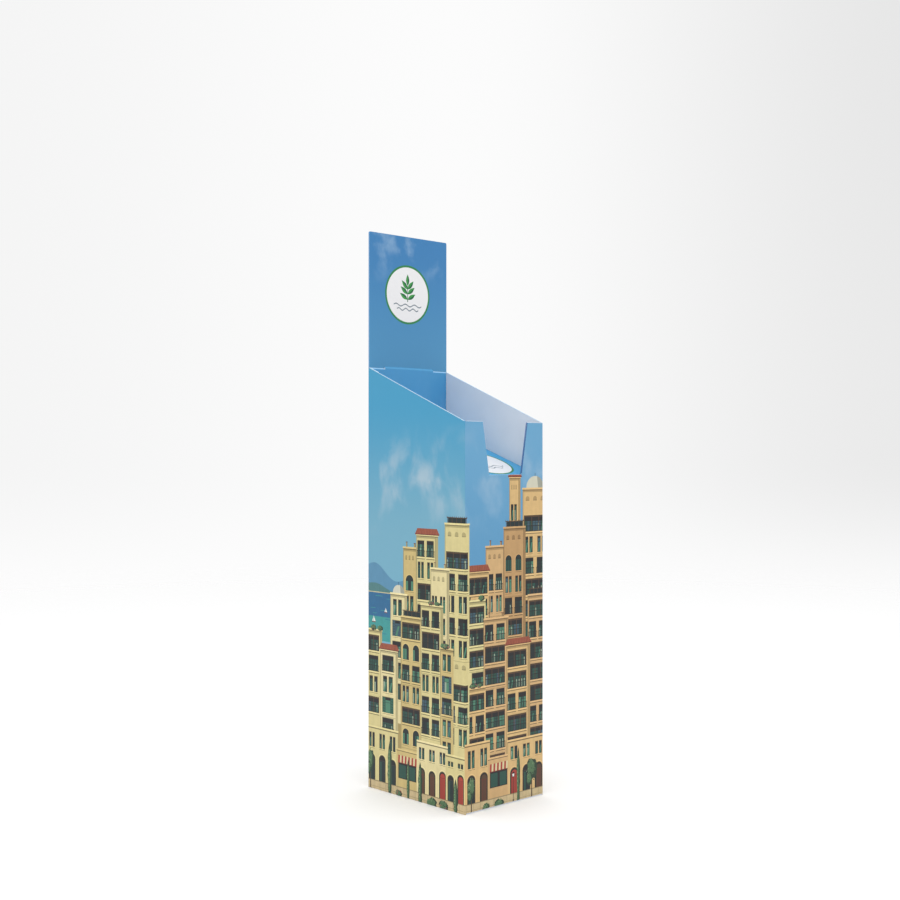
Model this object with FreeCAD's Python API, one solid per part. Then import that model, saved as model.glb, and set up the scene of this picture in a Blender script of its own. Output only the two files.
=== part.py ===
import FreeCAD, Part
import math
import os

# Floor-standing display column of corrugated board. One printed sheet is
# folded round into the column. A second, seated in it, is header card, lining
# of the back wall, sloping tray and the leg under the tray's front edge.
# Millimetres. +Z is up, the front faces -Y, and the origin is on the floor
# under the middle of the column.

# Board
board = 3.0              # thickness of the sheet
fold_inside = 0.6        # radius on the inside of a fold

# Column
column_width = 300.0
column_depth = 396.0
front_height = 1031.0    # top of the front wall's shoulders
back_height = 1190.0     # top of the back wall
display_height = 1578.0  # top of the header card

# Access notch in the front wall
shoulder_width = 65.6    # flat top edge on either side of the notch
sill_inset = 89.0        # from the column's side to the notch's lower corner
sill_height = 888.5      # bottom of the notch
notch_corner = 4.0       # radius of its lower corners

# Glued lap in the left back corner
lap_width = 35.0
lap_taper = 14.0         # how much shorter its free edge is, at either end
lap_foot = 20.0          # how far above the floor it starts

# Bottom flaps
flap_gap = 1.0           # between the two outer flaps, under the middle
flap_slot = 4.0          # from the column's corner to a flap's end
corner_foot = 0.4        # how far above the floor the folded corners end

# Header card and its neck
header_corner = 4.0      # radius of the header's top corners
slit_length = 57.0       # from the side to the neck
slit_height = 3.0        # how far the lining stops short of the back wall's top
slit_width = 0.8         # upright slit between the neck and a shoulder
step_rise = 3.0          # height over which the neck steps over the back wall

# Tray
tray_angle = 19.5        # slope, down to the front
tray_drop = 6.0          # from the sill down to the tray's front edge
wing_depth = 60.0        # side wings turned down under the tray
wing_taper = 20.0        # slant of the wings' ends
wing_gap = 12.0          # from the wings' ends to the leg and to the glued lap
wing_slot = 1.0          # slot at either end of a wing's fold

# Play of the insert in the column
side_play = 1.0
front_play = 1.0
step_play = 0.3          # over the back wall's top edge
lap_play = 1.0           # round the glued lap

fold_middle = fold_inside + board / 2
fold_outside = fold_inside + board
half_width = column_width / 2
half_depth = column_depth / 2
inner_half_width = half_width - board
inner_half_depth = half_depth - board
middle_half_width = half_width - board / 2
middle_half_depth = half_depth - board / 2
half_neck = half_width - slit_length
insert_half_width = inner_half_width - side_play
base_top = 2 * board
wall_foot = base_top + fold_inside
flap_length = half_width - flap_gap / 2
tray_tilt = math.radians(tray_angle)


def unit(start, end):
    length = math.hypot(end[0] - start[0], end[1] - start[1])
    return ((end[0] - start[0]) / length, (end[1] - start[1]) / length)


# Start, crown and end of a rounded corner. A corner without a radius is one point.
def corner_points(before, corner, after):
    if len(corner) == 2:
        return [corner]
    x, y, radius = corner
    into = unit(before, corner)
    out = unit(corner, after)
    half_turn = math.acos(into[0] * out[0] + into[1] * out[1]) / 2
    reach = radius * math.tan(half_turn)
    start = (x - into[0] * reach, y - into[1] * reach)
    end = (x + out[0] * reach, y + out[1] * reach)
    inward = unit(into, out)
    inset = radius / math.cos(half_turn) - radius
    return [start, (x + inward[0] * inset, y + inward[1] * inset), end]


# A flat outline, swept to its thickness or width. A corner's third number is its radius.
def panel(corners, place, sweep):
    rounded = []
    for index, corner in enumerate(corners):
        after = corners[(index + 1) % len(corners)]
        rounded.append([place(point) for point in corner_points(corners[index - 1], corner, after)])
    edges = []
    for points, following in zip(rounded, rounded[1:] + rounded[:1]):
        if len(points) > 1:
            edges.append(Part.Arc(*points).toShape())
        edges.append(Part.LineSegment(points[-1], following[0]).toShape())
    return Part.Face(Part.Wire(edges)).extrude(sweep)


# A fold's corner on one face of the sheet, half a board to one side of the middle line.
def fold_corner(before, bend, after, shift):
    into = unit(before, bend)
    out = unit(bend, after)
    mitre = shift / (1 + into[0] * out[0] + into[1] * out[1])
    hand = math.copysign(1, into[0] * out[1] - into[1] * out[0])
    x = bend[0] - (into[1] + out[1]) * mitre
    y = bend[1] + (into[0] + out[0]) * mitre
    return (x, y, fold_middle - hand * shift)


# One face of a folded sheet, from end to end.
def sheet_face(middle_line, shift):
    first = unit(middle_line[0], middle_line[1])
    last = unit(middle_line[-2], middle_line[-1])
    start = (middle_line[0][0] - first[1] * shift, middle_line[0][1] + first[0] * shift)
    end = (middle_line[-1][0] - last[1] * shift, middle_line[-1][1] + last[0] * shift)
    folds = []
    for before, bend, after in zip(middle_line, middle_line[1:], middle_line[2:]):
        folds.append(fold_corner(before, bend, after, shift))
    return [start] + folds + [end]


# A folded sheet: its section, drawn along its middle line, swept to its width.
def folded_sheet(middle_line, place, sweep):
    left = sheet_face(middle_line, board / 2)
    right = sheet_face(middle_line, -board / 2)
    return panel(left + right[::-1], place, sweep)


# Places (x, y) points at a height.
def in_plan(height):
    return lambda point: FreeCAD.Vector(point[0], point[1], height)


# Places (y, z) points on a plane across the width.
def in_side_view(x):
    return lambda point: FreeCAD.Vector(x, point[0], point[1])


# Places (x, z) points on a plane across the depth.
def in_front_view(y):
    return lambda point: FreeCAD.Vector(point[0], y, point[1])


def across(distance):
    return FreeCAD.Vector(distance, 0, 0)


def back(distance):
    return FreeCAD.Vector(0, distance, 0)


def up(distance):
    return FreeCAD.Vector(0, 0, distance)


# An outline seen from the side, right through the width, for cutting and trimming.
def whole_width(corners):
    return panel(corners, in_side_view(-half_width), across(column_width))


# The four walls in one strip, from the left wall's cut edge round to the glued lap.
def walls_down_to(foot):
    line = [
        (-middle_half_width, half_depth),
        (-middle_half_width, -middle_half_depth),
        (middle_half_width, -middle_half_depth),
        (middle_half_width, middle_half_depth),
        (-inner_half_width + fold_outside, middle_half_depth),
    ]
    return folded_sheet(line, in_plan(foot), up(back_height - foot))


# The lap on the back wall's end, folded forward and glued inside the left wall.
def glued_lap():
    x = -inner_half_width + board / 2
    fold = inner_half_depth - fold_outside
    free_edge = inner_half_depth - lap_width
    line = [(-inner_half_width + 2 * fold_outside, middle_half_depth), (x, middle_half_depth), (x, free_edge)]
    lap = folded_sheet(line, in_plan(wall_foot), up(back_height - wall_foot))
    outline = [
        (half_depth, wall_foot),
        (fold, wall_foot),
        (fold, lap_foot),
        (free_edge, lap_foot + lap_taper),
        (free_edge, back_height - lap_taper),
        (fold, back_height),
        (half_depth, back_height),
    ]
    return lap.common(whole_width(outline))


# What is cut away above the front wall and above the side walls' sloping edges.
def slope_waste():
    over = back_height + board
    return whole_width([
        (-half_depth, front_height),
        (-inner_half_depth, front_height),
        (inner_half_depth, back_height),
        (inner_half_depth, over),
        (-half_depth, over),
    ])


# The access notch, narrower at its sill.
def notch_waste():
    top = half_width - shoulder_width
    sill = half_width - sill_inset
    outline = [
        (-sill, sill_height, notch_corner),
        (sill, sill_height, notch_corner),
        (top, front_height),
        (-top, front_height),
    ]
    return panel(outline, in_front_view(-half_depth), back(board))


# A bottom flap of a side wall, on the floor. The two meet under the middle.
def outer_flap(side):
    line = [
        (side * middle_half_width, wall_foot),
        (side * middle_half_width, board / 2),
        (side * (half_width - flap_length), board / 2),
    ]
    start = -half_depth + flap_slot
    return folded_sheet(line, in_front_view(start), back(-2 * start))


# A bottom flap of the front or back wall, lying on the outer flaps.
def inner_flap(side):
    level = base_top - board / 2
    line = [
        (side * middle_half_depth, wall_foot + board),
        (side * middle_half_depth, level),
        (side * (half_depth - flap_length), level),
    ]
    start = -half_width + flap_slot
    return folded_sheet(line, in_side_view(start), across(-2 * start))


# The column's folded corners, which go on down beside the flaps.
def corner_strips():
    strips = []
    for x in (-half_width, half_width - fold_outside):
        for y in (-half_depth, half_depth - fold_outside):
            square = [(x, y), (x + fold_outside, y), (x + fold_outside, y + fold_outside), (x, y + fold_outside)]
            strips.append(panel(square, in_plan(corner_foot), up(wall_foot - corner_foot)))
    return walls_down_to(corner_foot).common(Part.makeCompound(strips))


def column_sleeve():
    lap = glued_lap()
    flaps = [outer_flap(-1), outer_flap(1), inner_flap(-1), inner_flap(1)]
    sleeve = walls_down_to(wall_foot).fuse([corner_strips(), lap] + flaps)
    return sleeve.cut([slope_waste(), notch_waste()]).removeSplitter()


# Height of the middle of the tray's board.
def tray_middle(y):
    front_edge = sill_height - tray_drop
    top = front_edge + (y + inner_half_depth) * math.tan(tray_tilt)
    return top - board / 2 / math.cos(tray_tilt)


# The header in the plane of the back wall, with a shoulder on either side of the neck.
def header_card():
    neck_top = back_height + step_play + step_rise + board
    shoulder_end = half_neck + slit_width
    outline = [
        (-half_width, back_height),
        (-shoulder_end, back_height),
        (-shoulder_end, neck_top),
        (shoulder_end, neck_top),
        (shoulder_end, back_height),
        (half_width, back_height),
        (half_width, display_height, header_corner),
        (-half_width, display_height, header_corner),
    ]
    return panel(outline, in_front_view(inner_half_depth), back(board))


# The strip between the slits, stepping forward over the back wall's top edge.
def neck():
    ahead = inner_half_depth - board / 2
    step_foot = back_height + step_play + fold_inside
    line = [
        (middle_half_depth, step_foot + step_rise + board),
        (middle_half_depth, step_foot + step_rise),
        (ahead, step_foot),
        (ahead, back_height - slit_height),
    ]
    return folded_sheet(line, in_side_view(-half_neck), across(2 * half_neck))


# Lining down the back wall, tray, and the leg behind the front wall down to the base.
def lining_tray_and_leg():
    y_lining = inner_half_depth - board / 2
    y_leg = -inner_half_depth + front_play + board / 2
    line = [
        (y_lining, back_height - slit_height),
        (y_lining, tray_middle(y_lining)),
        (y_leg, tray_middle(y_leg)),
        (y_leg, base_top),
    ]
    return folded_sheet(line, in_side_view(-insert_half_width), across(2 * insert_half_width))


wing_front = -inner_half_depth + front_play + board + wing_gap
wing_back = inner_half_depth - lap_width - wing_gap


# Room for the wings' folds in the tray's long edges.
def wing_waste(side):
    front = wing_front - wing_slot
    end = wing_back + wing_slot
    outline = [
        (front, tray_middle(front) - board),
        (end, tray_middle(end) - board),
        (end, tray_middle(end) + board),
        (front, tray_middle(front) + board),
    ]
    inner_edge = insert_half_width - fold_outside
    return panel(outline, in_side_view(side * inner_edge), across(side * fold_outside))


# A wing along one side of the tray, turned down against the side wall.
def tray_wing(side):
    along = FreeCAD.Vector(0, math.cos(tray_tilt), math.sin(tray_tilt))
    proud = FreeCAD.Vector(0, -math.sin(tray_tilt), math.cos(tray_tilt))
    start = FreeCAD.Vector(0, wing_front, tray_middle(wing_front))
    overlong = (wing_back - wing_front) / math.cos(tray_tilt) + wing_depth
    x = insert_half_width - board / 2
    line = [(side * (x - fold_outside), 0), (side * x, 0), (side * x, -wing_depth)]
    start -= along * (wing_depth / 2)

    def in_cross_section(point):
        return start + across(point[0]) + proud * point[1]

    wing = folded_sheet(line, in_cross_section, along * overlong)
    low_front = wing_front + 2 * wing_taper
    low_back = wing_back - 2 * wing_taper
    outline = [
        (wing_front, tray_middle(wing_front) + board),
        (wing_front, tray_middle(wing_front) - fold_outside),
        (low_front, tray_middle(low_front) - 2 * wing_depth),
        (low_back, tray_middle(low_back) - 2 * wing_depth),
        (wing_back, tray_middle(wing_back) - fold_outside),
        (wing_back, tray_middle(wing_back) + board),
    ]
    return wing.common(whole_width(outline))


# The insert's left edge is cut back where the glued lap stands proud of the side wall.
def lap_relief():
    y_front = inner_half_depth - lap_width - lap_play
    foot = tray_middle(y_front) - board
    outline = [
        (y_front, foot),
        (inner_half_depth, foot),
        (inner_half_depth, back_height),
        (y_front, back_height),
    ]
    return panel(outline, in_side_view(-inner_half_width), across(board + lap_play))


def printed_insert():
    body = lining_tray_and_leg().cut([lap_relief(), wing_waste(-1), wing_waste(1)])
    return body.fuse([header_card(), neck(), tray_wing(-1), tray_wing(1)]).removeSplitter()


os.makedirs("parts", exist_ok=True)
pieces = {"column_sleeve": column_sleeve(), "printed_insert": printed_insert()}
for name, shape in pieces.items():
    shape.exportStep("parts/" + name + ".step")
    print(name, len(shape.Solids), "solid", shape.isValid(), round(shape.Volume / 1000, 1), "cm3")
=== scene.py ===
import math
import random

import bpy
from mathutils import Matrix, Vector, geometry


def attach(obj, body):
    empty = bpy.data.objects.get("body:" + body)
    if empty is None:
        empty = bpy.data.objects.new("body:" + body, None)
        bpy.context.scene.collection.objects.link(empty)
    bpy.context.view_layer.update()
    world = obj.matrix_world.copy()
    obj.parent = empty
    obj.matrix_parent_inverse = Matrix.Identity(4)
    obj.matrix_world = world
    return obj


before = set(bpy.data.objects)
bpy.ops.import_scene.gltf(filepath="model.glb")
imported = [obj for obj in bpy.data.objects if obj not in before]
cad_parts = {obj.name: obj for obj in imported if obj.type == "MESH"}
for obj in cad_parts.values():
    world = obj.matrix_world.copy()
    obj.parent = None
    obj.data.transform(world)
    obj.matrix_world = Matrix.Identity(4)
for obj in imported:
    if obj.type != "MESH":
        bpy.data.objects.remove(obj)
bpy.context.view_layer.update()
print("frame loaded:", len(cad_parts), "nodes")

mm = 0.001

# the folded column, as it was drawn, in millimetres
column = {
    "width": 300.0,
    "depth": 396.0,
    "frontHeight": 1031.0,
    "backHeight": 1190.0,
    "board": 3.0,
    "foldRadius": 3.6,      # outside of a fold
    "wallFoot": 6.6,        # walls end here between the flaps
    "sideFoot": 3.6,        # where the side walls turn under
    "flapSlot": 4.0,
    "cornerFoot": 0.5,      # the folded corners end here beside the flaps
    "notchTop": 84.4,
    "notchSill": 61.0,
    "sillHeight": 888.5,
    "notchCorner": 4.0,
    "lap": 30.0,
}


# a screen colour of 0 to 255, in the linear values that nodes take
def linear(colour):
    out = []
    for value in colour:
        value = value / 255
        out.append(value / 12.92 if value <= 0.04045 else ((value + 0.055) / 1.055) ** 2.4)
    return tuple(out) + (1.0,)


# each input takes a plain value or is wired to a socket
def feed(tree, node, inputs):
    for key, value in inputs.items():
        if isinstance(value, (int, float, tuple)):
            node.inputs[key].default_value = value
        else:
            tree.links.new(value, node.inputs[key])


def addNode(tree, kind, inputs=None, **settings):
    node = tree.nodes.new(kind)
    for key, value in settings.items():
        setattr(node, key, value)
    feed(tree, node, inputs or {})
    return node


def mathNode(tree, operation, *values, clamp=False):
    inputs = dict(enumerate(values))
    return addNode(tree, "ShaderNodeMath", inputs, operation=operation, use_clamp=clamp).outputs[0]


def plus(tree, first, second):
    return mathNode(tree, "ADD", first, second)


def minus(tree, first, second):
    return mathNode(tree, "SUBTRACT", first, second)


def times(tree, first, second):
    return mathNode(tree, "MULTIPLY", first, second)


def vectorNode(tree, operation, inputs, output="Vector"):
    return addNode(tree, "ShaderNodeVectorMath", inputs, operation=operation).outputs[output]


def axesOf(tree, vector):
    node = addNode(tree, "ShaderNodeSeparateXYZ", {0: vector})
    return [node.outputs[axis] for axis in "XYZ"]


def mixColours(tree, factor, first, second):
    inputs = {0: factor, 6: first, 7: second}
    return addNode(tree, "ShaderNodeMix", inputs, data_type="RGBA", blend_type="MIX").outputs[2]


def noise(tree, vector, **inputs):
    return addNode(tree, "ShaderNodeTexNoise", {"Vector": vector, **inputs}).outputs["Fac"]


# a value eased from 0 at the first limit to 1 at the second
def eased(tree, value, start, end):
    inputs = {"Value": value, "From Min": start, "From Max": end}
    return addNode(tree, "ShaderNodeMapRange", inputs, interpolation_type="SMOOTHSTEP").outputs["Result"]


# a group with its inputs' starting values, which give their kinds, and the kinds of its outputs
def newGroup(name, inputs, outputs):
    tree = bpy.data.node_groups.new(name, "ShaderNodeTree")
    kinds = {3: "Vector", 4: "Color"}
    for label, value in inputs.items():
        kind = "NodeSocket" + ("Float" if isinstance(value, float) else kinds[len(value)])
        socket = tree.interface.new_socket(name=label, in_out="INPUT", socket_type=kind)
        socket.default_value = value
    for label, kind in outputs.items():
        tree.interface.new_socket(name=label, in_out="OUTPUT", socket_type="NodeSocket" + kind)
    return tree, addNode(tree, "NodeGroupInput").outputs, addNode(tree, "NodeGroupOutput")


def placeGroup(tree, group, inputs):
    return addNode(tree, "ShaderNodeGroup", inputs, node_tree=group).outputs


def newMaterial(name):
    material = bpy.data.materials.new(name)
    material.use_nodes = True
    return material, material.node_tree, material.node_tree.nodes["Principled BSDF"]


flutePitch = 0.0065         # metres, of the board's fluted middle


# flutes of the board telegraphing through a face, plus the fibre of the paper
def buildBoardRelief():
    inputs = {"Vector": (0, 0, 0), "Along": 0.0, "Washboard": 0.35, "Fibre": 0.3}
    tree, into, out = newGroup("boardRelief", inputs, {"Height": "Float", "Mottle": "Float"})
    turns = mathNode(tree, "DIVIDE", into["Along"], flutePitch)
    wave = mathNode(tree, "SINE", times(tree, turns, 2 * math.pi))
    fibre = noise(tree, into["Vector"], Scale=900, Detail=3)
    patches = noise(tree, into["Vector"], Scale=14, Detail=4)
    ripple = times(tree, wave, into["Washboard"])
    height = plus(tree, ripple, times(tree, fibre, into["Fibre"]))
    mottle = plus(tree, times(tree, fibre, 0.35), times(tree, patches, 0.65))
    feed(tree, out, {"Height": height, "Mottle": mottle})
    return tree


# the cut edge of the board: two liners and the wave of the fluting between them, with painted shade in the
# hollows
def buildCutEdge():
    inputs = {"Across": 0.5, "Along": 0.0, "Liner": (0.8, 0.8, 0.8, 1), "Hollow": (0.3, 0.3, 0.3, 1)}
    tree, into, out = newGroup("cutEdge", inputs, {"Color": "Color", "Height": "Float"})
    turns = times(tree, into["Along"], 2 * math.pi / flutePitch)
    wave = times(tree, mathNode(tree, "SINE", turns), 0.36)
    off = minus(tree, into["Across"], 0.5)
    flute = mathNode(tree, "LESS_THAN", mathNode(tree, "ABSOLUTE", minus(tree, off, wave)), 0.11)
    liner = mathNode(tree, "GREATER_THAN", mathNode(tree, "ABSOLUTE", off), 0.39)
    solid = mathNode(tree, "MAXIMUM", flute, liner)
    colour = mixColours(tree, solid, into["Hollow"], into["Liner"])
    feed(tree, out, {"Color": colour, "Height": solid})
    return tree


# a printed tone, broken up by faint patches and by upright streaks
def buildInkTone():
    inputs = {"Vector": (0, 0, 0), "Color": (0.5, 0.5, 0.5, 1), "Depth": 0.12, "Scale": 40.0}
    tree, into, out = newGroup("inkTone", inputs, {"Color": "Color"})
    patches = noise(tree, into["Vector"], Scale=into["Scale"], Detail=5, Roughness=0.6)
    streaked = addNode(tree, "ShaderNodeMapping", {"Vector": into["Vector"], "Scale": (70, 70, 9)})
    runs = noise(tree, streaked.outputs["Vector"], Scale=1, Detail=3)
    swing = times(tree, minus(tree, plus(tree, patches, runs), 1.0), into["Depth"])
    gain = plus(tree, times(tree, swing, 2.0), 1.0)
    feed(tree, out, {"Color": vectorNode(tree, "SCALE", {0: into["Color"], "Scale": gain})})
    return tree


# sky that pales towards the horizon, with soft upright wisps of cloud
def buildSkyWash():
    inputs = {
        "Vector": (0, 0, 0), "High": (0.1, 0.3, 0.6, 1), "Low": (0.2, 0.4, 0.6, 1),
        "Cloud": (0.6, 0.7, 0.8, 1), "Low height": 0.7, "High height": 1.1, "Cloud height": 0.9,
        "Cloud reach": 0.1, "Cloud amount": 0.4, "Stretch": (14, 14, 6), "Shift": (0, 0, 0),
    }
    tree, into, out = newGroup("skyWash", inputs, {"Color": "Color"})
    height = axesOf(tree, into["Vector"])[2]
    rise = eased(tree, height, into["Low height"], into["High height"])
    wash = mixColours(tree, rise, into["Low"], into["High"])
    stretched = vectorNode(tree, "MULTIPLY", {0: into["Vector"], 1: into["Stretch"]})
    shifted = vectorNode(tree, "ADD", {0: stretched, 1: into["Shift"]})
    wisps = noise(tree, shifted, Scale=1, Detail=6, Distortion=0.25)
    thick = eased(tree, wisps, 0.47, 0.72)
    away = mathNode(tree, "ABSOLUTE", minus(tree, height, into["Cloud height"]))
    far = mathNode(tree, "DIVIDE", away, into["Cloud reach"])
    near = mathNode(tree, "SUBTRACT", 1.0, far, clamp=True)
    cover = times(tree, times(tree, near, thick), into["Cloud amount"])
    feed(tree, out, {"Color": mixColours(tree, cover, wash, into["Cloud"])})
    return tree


boardRelief = buildBoardRelief()
cutEdge = buildCutEdge()
inkTone = buildInkTone()
skyWash = buildSkyWash()
print("node groups built:", len(bpy.data.node_groups))


# the bare board of the two folded sheets
bareBoard = {
    "liner": (234, 238, 245),
    "linerWorn": (217, 222, 230),
    "edgeLiner": (196, 230, 250),
    # painted shade in the hollows between the flutes
    "edgeHollow": (138, 188, 226),
    # blue ink with painted shade, on the sleeve's upright cut edges
    "notchInkAndShade": (78, 116, 166),
    "headerTint": (92, 150, 202),
    "turnedInk": (166, 214, 246),
    "turnedLevel": 1.1866,   # the print turns in over the back wall's top edge
    "edgeReach": 1.03,       # an edge counts as cut this many boards in from outside
    "flutes": 0.5,
    "fibre": 0.25,
    "roughness": 0.52,
    "roughSwing": 0.2,
    "bump": 0.5,
    "gloss": 0.3,
}


# whether a value lies beyond a limit
def beyond(tree, value, limit):
    return mathNode(tree, "GREATER_THAN", value, limit)


def blend(tree, factor, first, second):
    rest = minus(tree, 1.0, factor)
    return plus(tree, times(tree, first, rest), times(tree, second, factor))


# satin paper: its roughness varies with the mottle, and a height feeds its bump
def finishPaper(tree, shader, colour, mottle, height, paper, roughness):
    bump = addNode(tree, "ShaderNodeBump", {"Distance": 0.0002, "Strength": paper["bump"], "Height": height})
    feed(tree, shader, {
        "Base Color": colour,
        "Roughness": plus(tree, times(tree, mottle, paper["roughSwing"]), roughness),
        "Normal": bump.outputs["Normal"],
        "Specular IOR Level": paper["gloss"],
    })


# white liner with the cut edges picked out by where they lie and which way they face; the sleeve's upright
# cut edges get a darker blue, ink with painted shade
def buildBoardMaterial(name, edgeFloor, sideInkAndShade):
    material, tree, shader = newMaterial(name)
    side, end, thick = column["width"] / 2 * mm, column["depth"] / 2 * mm, column["board"] * mm
    coords = addNode(tree, "ShaderNodeTexCoord").outputs
    x, y, height = axesOf(tree, coords["Object"])
    faceX, faceY, faceZ = axesOf(tree, coords["Normal"])
    sideways = mathNode(tree, "ABSOLUTE", faceX)
    outX = mathNode(tree, "ABSOLUTE", x)
    outY = mathNode(tree, "ABSOLUTE", y)
    relief = placeGroup(tree, boardRelief, {
        "Vector": coords["Object"], "Along": blend(tree, sideways, x, y),
        "Washboard": bareBoard["flutes"], "Fibre": bareBoard["fibre"],
    })
    onSide = beyond(tree, outX, side - thick * bareBoard["edgeReach"])
    onEnd = beyond(tree, outY, end - thick * bareBoard["edgeReach"])
    throughX = mathNode(tree, "DIVIDE", minus(tree, side, outX), thick)
    throughY = mathNode(tree, "DIVIDE", minus(tree, end, outY), thick)
    edge = placeGroup(tree, cutEdge, {
        "Across": blend(tree, onSide, throughY, throughX), "Along": blend(tree, onSide, x, y),
        "Liner": linear(bareBoard["edgeLiner"]), "Hollow": linear(bareBoard["edgeHollow"]),
    })
    aboveFloor = beyond(tree, height, edgeFloor)
    topEdge = times(tree, beyond(tree, faceZ, 0.5), aboveFloor)
    sideEdge = times(tree, times(tree, beyond(tree, sideways, 0.5), onEnd), aboveFloor)
    worn, fresh = linear(bareBoard["linerWorn"]), linear(bareBoard["liner"])
    paper = mixColours(tree, relief["Mottle"], worn, fresh)
    if sideInkAndShade == "notchInkAndShade":
        turned = times(tree, beyond(tree, height, bareBoard["turnedLevel"]),
                       mathNode(tree, "LESS_THAN", faceY, -0.5))
        paper = mixColours(tree, turned, paper, linear(bareBoard["turnedInk"]))
    edged = mixColours(tree, topEdge, paper, edge["Color"])
    # upright cut edges: on the sleeve a darker blue of ink and painted shade, on the insert the header's ink
    sidesInkedAndShaded = mixColours(tree, sideEdge, edged, linear(bareBoard[sideInkAndShade]))
    flutes = times(tree, times(tree, edge["Height"], topEdge), 2.0)
    bumps = plus(tree, times(tree, relief["Height"], 0.25), flutes)
    finishPaper(tree, shader, sidesInkedAndShaded, relief["Mottle"], bumps, bareBoard, bareBoard["roughness"])
    return material


boards = {
    "column_sleeve": buildBoardMaterial("sleeveLiner", 0.85, "notchInkAndShade"),
    "printed_insert": buildBoardMaterial("insertLiner", 1.18, "headerTint"),
}
for node, material in boards.items():
    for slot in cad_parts[node].material_slots:
        slot.material = material
print("bare board dressed")


# how the print lies on the board
printing = {
    "proud": 0.08,          # the print stands this far off the board
    "fineProud": 0.2,       # and the fine print over it this far
    "thickness": 0.16,
    "cutHighlightMargin": 0.9,       # bare board along the die-cut edges, left showing as a painted highlight on their rims
    "edgeMargin": 0.3,      # and bare board along the straight outer ones
    "foldStep": 22.5,       # degrees round a fold from one crease to the next
    "underTurn": 64.0,      # how far round the bottom folds the print goes
    "bakeMargin": 0.004,    # free edge left round the OFBake map
    "flutes": 0.3,
    "fibre": 0.12,
    "roughness": 0.38,
    "roughSwing": 0.16,
    "bump": 0.35,
    "gloss": 0.35,
}


def rotated(arm, angle):
    return Vector((arm.x * math.cos(angle) - arm.y * math.sin(angle),
                   arm.x * math.sin(angle) + arm.y * math.cos(angle)))


# a line of straights and rounded folds; gives the place and the outward side at a distance along it
def foldedLine(corners):
    parts = []
    at = Vector(corners[0][:2])
    for before, corner, after in zip(corners, corners[1:], corners[2:]):
        bend, radius = Vector(corner[:2]), corner[2]
        into = (bend - Vector(before[:2])).normalized()
        out = (Vector(after[:2]) - bend).normalized()
        turn = into.angle_signed(out) * -1
        reach = radius * math.tan(abs(turn) / 2)
        start = bend - into * reach
        parts.append({"long": (start - at).length, "start": at, "heading": into})
        side = Vector((-into.y, into.x)) * math.copysign(1, turn)
        parts.append({"long": radius * abs(turn), "start": start, "heading": into,
                      "centre": start + side * radius, "turn": turn})
        at = bend + out * reach
    end = Vector(corners[-1][:2])
    parts.append({"long": (end - at).length, "start": at, "heading": (end - at).normalized()})

    def find(distance):
        for part in parts:
            if distance <= part["long"] or part is parts[-1]:
                break
            distance -= part["long"]
        heading = part["heading"]
        if "turn" in part:
            angle = part["turn"] * distance / part["long"]
            spot = part["centre"] + rotated(part["start"] - part["centre"], angle)
            heading = rotated(heading, angle)
        else:
            spot = part["start"] + heading * distance
        return spot, Vector((heading.y, -heading.x))

    starts = [0.0]
    for part in parts:
        starts.append(starts[-1] + part["long"])
    return find, starts


# cuts overlapping areas into one flat layer: its points, and each triangle with its topmost ink
def flatLayer(sheet, holes, areas, creases, base):
    points, faces, edges = [], [], []

    # every outline runs counterclockwise, or the cut would fill what is round it
    def put(outline):
        turned = sum(a[0] * b[1] - b[0] * a[1] for a, b in zip(outline, outline[1:] + outline[:1]))
        faces.append(list(range(len(points), len(points) + len(outline))))
        points.extend(Vector(point) for point in (outline if turned > 0 else outline[::-1]))

    for outline in [sheet] + [outline for ink, outline in areas] + holes:
        put(outline)
    for start, end in creases:
        edges.append((len(points), len(points) + 1))
        points.extend((Vector(start), Vector(end)))
    cut = geometry.delaunay_2d_cdt(points, edges, faces, 1, 1e-4, True)
    covering = []
    for triangle, covered in zip(cut[2], cut[5]):
        # the sheet is outline 0, and the holes come after the areas
        if 0 in covered and max(covered) <= len(areas):
            top = max(covered)
            covering.append((triangle, areas[top - 1][0] if top else base))
    return cut[0], covering


# folds a flat layer along its place function and gives it its thickness
def buildPrintPiece(name, spots, chosen, place, inks, proud):
    used = sorted({corner for triangle, ink in chosen for corner in triangle})
    index = {corner: number for number, corner in enumerate(used)}
    places = []
    for corner in used:
        spot, outward = place(spots[corner])
        places.append((spot + outward * proud) * mm)
    triangles = [tuple(index[corner] for corner in triangle) for triangle, ink in chosen]
    mesh = bpy.data.meshes.new(name)
    mesh.from_pydata(places, [], triangles)
    worn = sorted({ink for triangle, ink in chosen})
    for ink in worn:
        mesh.materials.append(inkMaterial(ink, inks[ink]))
    mesh.polygons.foreach_set("material_index", [worn.index(ink) for triangle, ink in chosen])
    flat = mesh.uv_layers.new(name="sheetMap")
    bakeMap = mesh.uv_layers.new(name="OFBake")
    low = [min(spots[corner][axis] for corner in used) for axis in (0, 1)]
    size = [max(spots[corner][axis] for corner in used) - low[axis] for axis in (0, 1)]
    margin = printing["bakeMargin"]
    for loop in mesh.loops:
        spot = spots[used[loop.vertex_index]]
        flat.data[loop.index].uv = (spot[0] * mm, spot[1] * mm)
        share = [(spot[axis] - low[axis]) / size[axis] for axis in (0, 1)]
        bakeMap.data[loop.index].uv = [margin + (1 - 2 * margin) * part for part in share]
    flat.active_render = True
    piece = bpy.data.objects.new(name, mesh)
    bpy.context.scene.collection.objects.link(piece)
    bpy.ops.object.select_all(action="DESELECT")
    piece.select_set(True)
    bpy.context.view_layer.objects.active = piece
    thicken = piece.modifiers.new("thicken", "SOLIDIFY")
    thicken.thickness = printing["thickness"] * mm
    thicken.offset = -1
    thicken.use_even_offset = False
    bpy.ops.object.modifier_apply(modifier="thicken")
    bpy.ops.object.shade_smooth_by_angle(angle=math.radians(30))
    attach(piece, "root")
    count = sum(len(face.vertices) - 2 for face in piece.data.polygons)
    print("printed", name, "-", count, "triangles,", len(worn), "inks")
    return piece


inkMaterials = {}


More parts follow.
